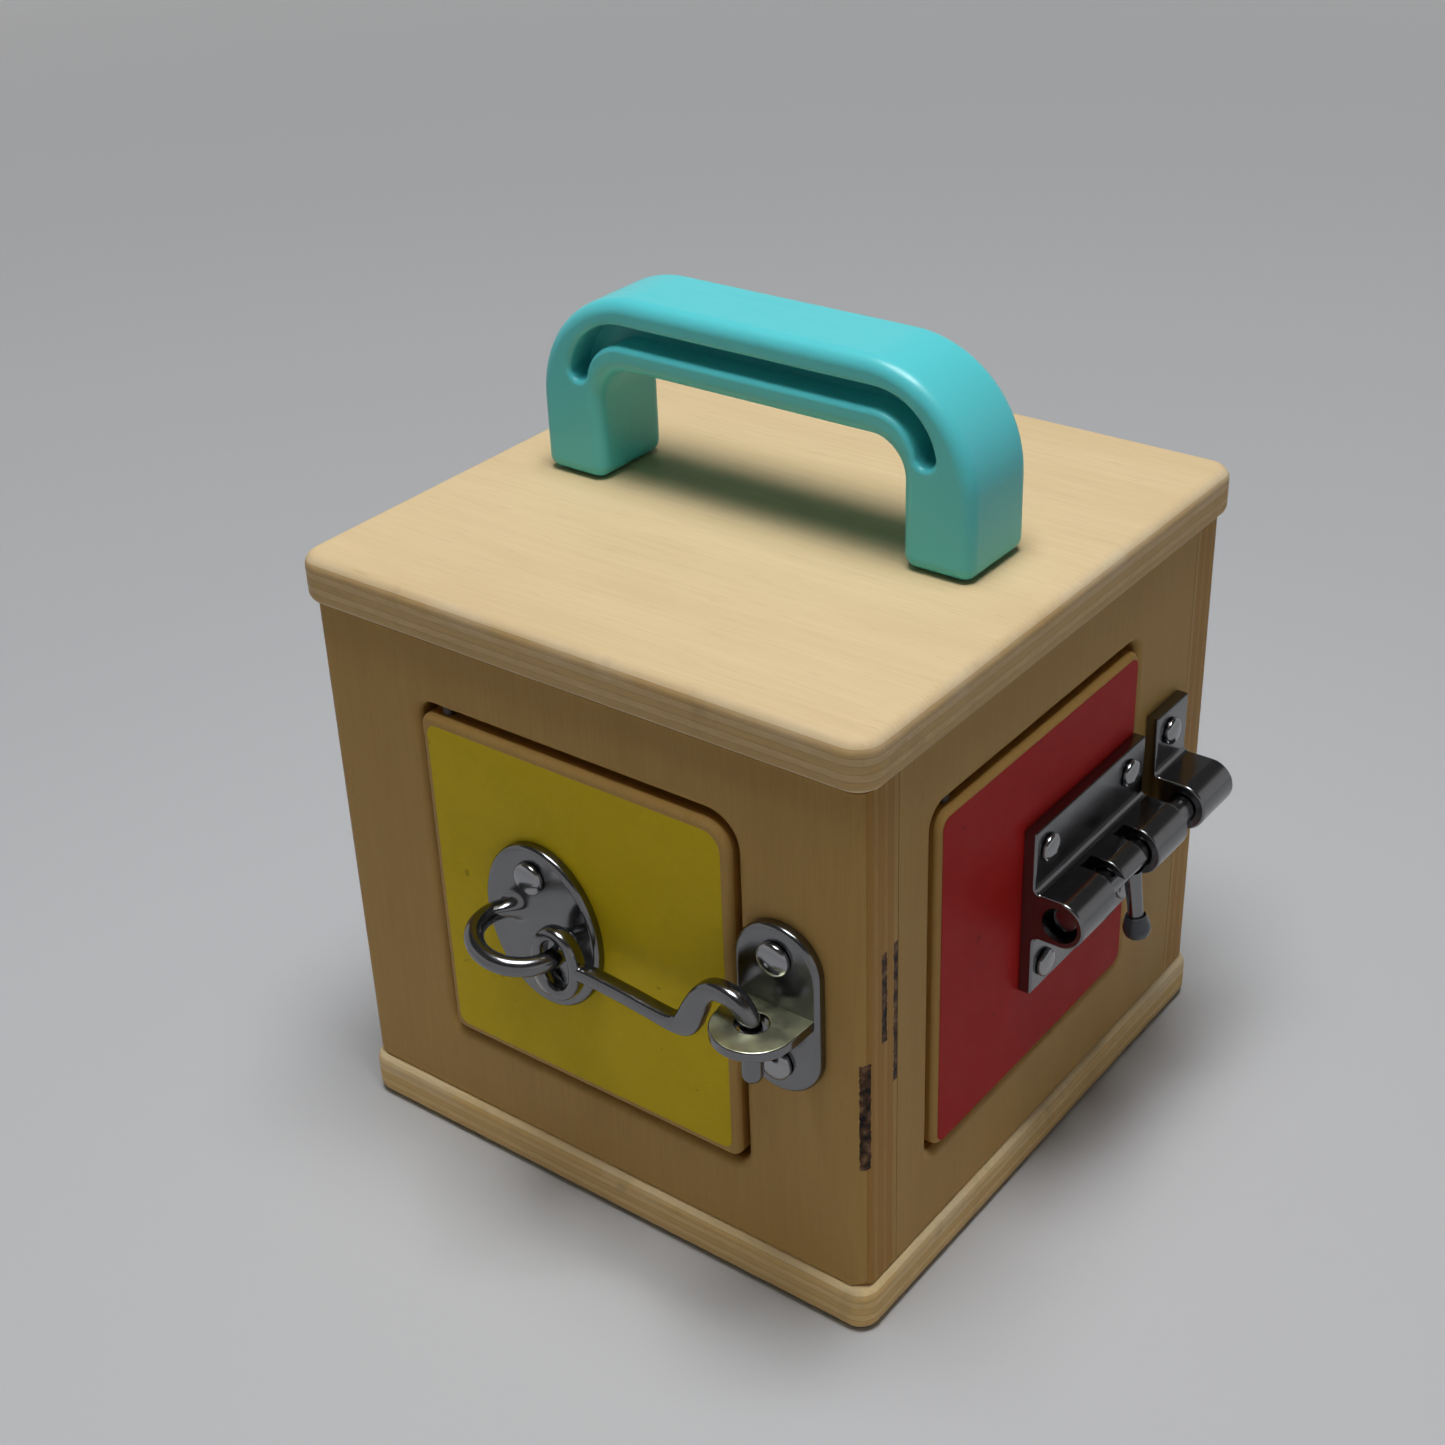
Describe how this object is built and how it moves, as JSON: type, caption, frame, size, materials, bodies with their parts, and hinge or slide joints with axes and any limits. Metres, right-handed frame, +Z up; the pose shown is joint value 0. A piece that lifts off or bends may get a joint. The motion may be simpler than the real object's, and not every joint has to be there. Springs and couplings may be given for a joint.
{
  "type": "wooden latch box",
  "caption": "Plywood cube toy with a small door in each side, each door held by a different catch, and a carrying handle on the lid.",
  "frame": {"origin": "middle of the underside of the base", "axes": "+Z up, the yellow door faces -Y and the red door faces +X"},
  "size_m": [0.1773, 0.1837, 0.194],
  "materials": {
    "base_panel": "clear lacquered birch plywood",
    "lid_panel": "clear lacquered birch plywood",
    "front_panel": "clear lacquered birch plywood",
    "right_panel": "clear lacquered birch plywood",
    "back_panel": "clear lacquered birch plywood",
    "left_panel": "clear lacquered birch plywood",
    "front_door": "yellow painted face on plywood with bare edges",
    "right_door": "red painted face on plywood with bare edges",
    "back_door": "green painted face on plywood with bare edges",
    "left_door": "blue painted face on plywood with bare edges",
    "handle": "satin turquoise moulding",
    "hook_plate": "bright plated",
    "hook": "bright plated",
    "eye_plate": "bright plated",
    "bolt_plate": "bright plated",
    "bolt_rod": "bright plated",
    "bolt_knob": "bright plated",
    "bolt_keeper": "bright plated",
    "hasp_leaf": "bright plated",
    "hasp_strap": "bright plated",
    "staple_plate": "bright plated",
    "turn_staple": "bright plated",
    "button_plate": "bright plated",
    "button_arm": "bright plated",
    "button_rivet": "bright plated",
    "pin_steel": "plain steel",
    "screw_chrome": "bright plated"
  },
  "bodies": {
    "box": {"base_panel": "base_panel", "lid_panel": "lid_panel", "front_panel": "front_panel", "right_panel": "right_panel", "back_panel": "back_panel", "left_panel": "left_panel", "front_lower_pin": "pin_steel", "front_upper_pin": "pin_steel", "right_lower_pin": "pin_steel", "right_upper_pin": "pin_steel", "back_lower_pin": "pin_steel", "back_upper_pin": "pin_steel", "left_lower_pin": "pin_steel", "left_upper_pin": "pin_steel", "handle": "handle", "handle_screw_left": "screw_chrome", "handle_screw_right": "screw_chrome", "eye_plate": "eye_plate", "eye_plate_screw_upper": "screw_chrome", "eye_plate_screw_lower": "screw_chrome", "bolt_keeper": "bolt_keeper", "keeper_screw_upper": "screw_chrome", "keeper_screw_lower": "screw_chrome", "staple_plate": "staple_plate", "staple_screw_upper": "screw_chrome", "staple_screw_lower": "screw_chrome", "button_plate": "button_plate", "button_rivet": "button_rivet", "button_screw_upper": "screw_chrome", "button_screw_lower": "screw_chrome"},
    "yellow_door": {"front_door": "front_door", "hook_plate": "hook_plate", "hook_plate_screw_upper": "screw_chrome", "hook_plate_screw_lower": "screw_chrome"},
    "hook": {"hook": "hook"},
    "red_door": {"right_door": "right_door", "bolt_plate": "bolt_plate", "bolt_screw_upper_near": "screw_chrome", "bolt_screw_upper_far": "screw_chrome", "bolt_screw_lower_near": "screw_chrome", "bolt_screw_lower_far": "screw_chrome"},
    "bolt_rod": {"bolt_rod": "bolt_rod"},
    "bolt_knob": {"bolt_knob": "bolt_knob"},
    "green_door": {"back_door": "back_door", "hasp_leaf": "hasp_leaf", "hasp_pin": "pin_steel", "hasp_screw_upper": "screw_chrome", "hasp_screw_lower": "screw_chrome"},
    "hasp_strap": {"hasp_strap": "hasp_strap"},
    "turn_staple": {"turn_staple": "turn_staple"},
    "blue_door": {"left_door": "left_door"},
    "button_arm": {"button_arm": "button_arm"}
  },
  "joints": [
    {"name": "yellow_door_hinge", "type": "hinge", "parent": "box", "child": "yellow_door", "pos_m": [-0.0363, -0.0719, 0.0763], "axis": [0, 0, -1], "range_deg": [0, 120]},
    {"name": "hook_swing", "type": "hinge", "parent": "yellow_door", "child": "hook", "pos_m": [0.0005, -0.0842, 0.0766], "axis": [0, -1, 0], "range_deg": [0, 105]},
    {"name": "red_door_hinge", "type": "hinge", "parent": "box", "child": "red_door", "pos_m": [0.0704, -0.0428, 0.0763], "axis": [0, 0, -1], "range_deg": [0, 120]},
    {"name": "bolt_slide", "type": "slide", "parent": "red_door", "child": "bolt_rod", "axis": [0, 1, 0], "range_m": [-0.01525, 0]},
    {"name": "bolt_turn", "type": "hinge", "parent": "bolt_rod", "child": "bolt_knob", "pos_m": [0.0834, 0.0175, 0.0768], "axis": [0, -1, 0], "range_deg": [-8, 165]},
    {"name": "green_door_hinge", "type": "hinge", "parent": "box", "child": "green_door", "pos_m": [0.0363, 0.0719, 0.0763], "axis": [0, 0, -1], "range_deg": [0, 120]},
    {"name": "hasp_swing", "type": "hinge", "parent": "green_door", "child": "hasp_strap", "pos_m": [-0.0345, 0.0792, 0.0764], "axis": [0, 0, -1], "range_deg": [0, 175]},
    {"name": "staple_turn", "type": "hinge", "parent": "box", "child": "turn_staple", "pos_m": [-0.0565, 0.0744, 0.0764], "axis": [0, 1, 0], "range_deg": [0, 90]},
    {"name": "blue_door_hinge", "type": "hinge", "parent": "box", "child": "blue_door", "pos_m": [-0.0704, 0.0428, 0.0763], "axis": [0, 0, -1], "range_deg": [0, 120]},
    {"name": "button_turn", "type": "hinge", "parent": "box", "child": "button_arm", "pos_m": [-0.0729, -0.0485, 0.0764], "axis": [-1, 0, 0], "range_deg": [0, 90]}
  ]
}
